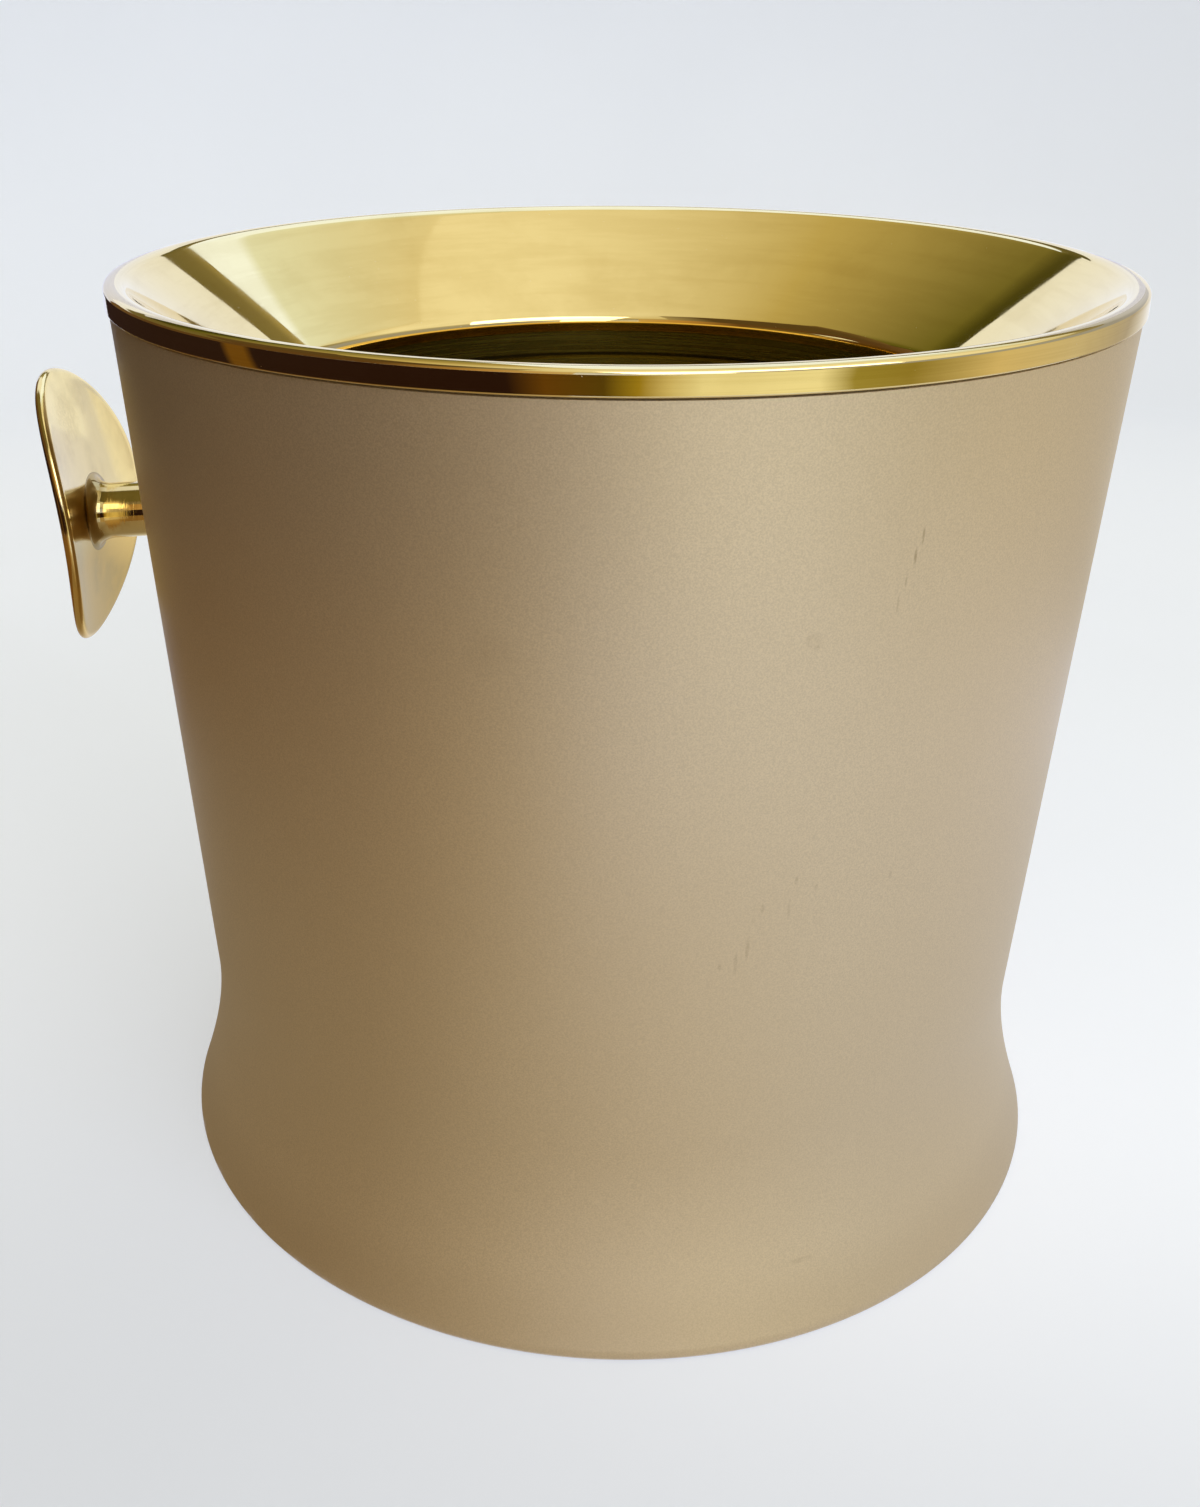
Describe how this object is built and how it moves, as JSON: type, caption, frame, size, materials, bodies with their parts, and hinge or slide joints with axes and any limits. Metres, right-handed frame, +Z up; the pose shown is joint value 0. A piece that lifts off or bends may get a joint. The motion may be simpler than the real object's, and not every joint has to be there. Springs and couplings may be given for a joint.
{
  "type": "champagne bucket",
  "caption": "Waisted champagne bucket in satin metal with a polished brass funnel collar, a lift-out liner for ice and a bottle, and a curved brass plate handle on a short stem.",
  "frame": {"origin": "centre of the underside of the base pad, on the axis of the bucket, on the table", "axes": "+Z up along the bucket's axis, -X out through the handle"},
  "size_m": [0.2464, 0.2248, 0.21],
  "materials": {
    "champagne_shell": "satin champagne lacquer with a fine metallic grain",
    "polished_brass": "polished, faintly brushed round the funnel",
    "liner_brass": "satin spun brass, darkened",
    "bare_aluminium": "bare spun aluminium",
    "fastener_steel": "plain stainless",
    "pad_rubber": "matt non-slip rubber",
    "clear_silicone": "translucent silicone"
  },
  "bodies": {
    "bucket": {"outer_shell": "champagne_shell", "base_disc": "bare_aluminium", "base_pad": "pad_rubber", "handle_plate": "polished_brass", "handle_stem": "polished_brass", "handle_gasket": "clear_silicone", "handle_backing": "bare_aluminium", "handle_washer": "fastener_steel", "handle_screw": "fastener_steel"},
    "insert": {"funnel_collar": "polished_brass", "inner_liner": "liner_brass", "seat_ring": "clear_silicone"}
  },
  "joints": [
    {"name": "insert_lift", "type": "slide", "parent": "bucket", "child": "insert", "axis": [0, 0, 1], "range_m": [0, 0.2]}
  ]
}
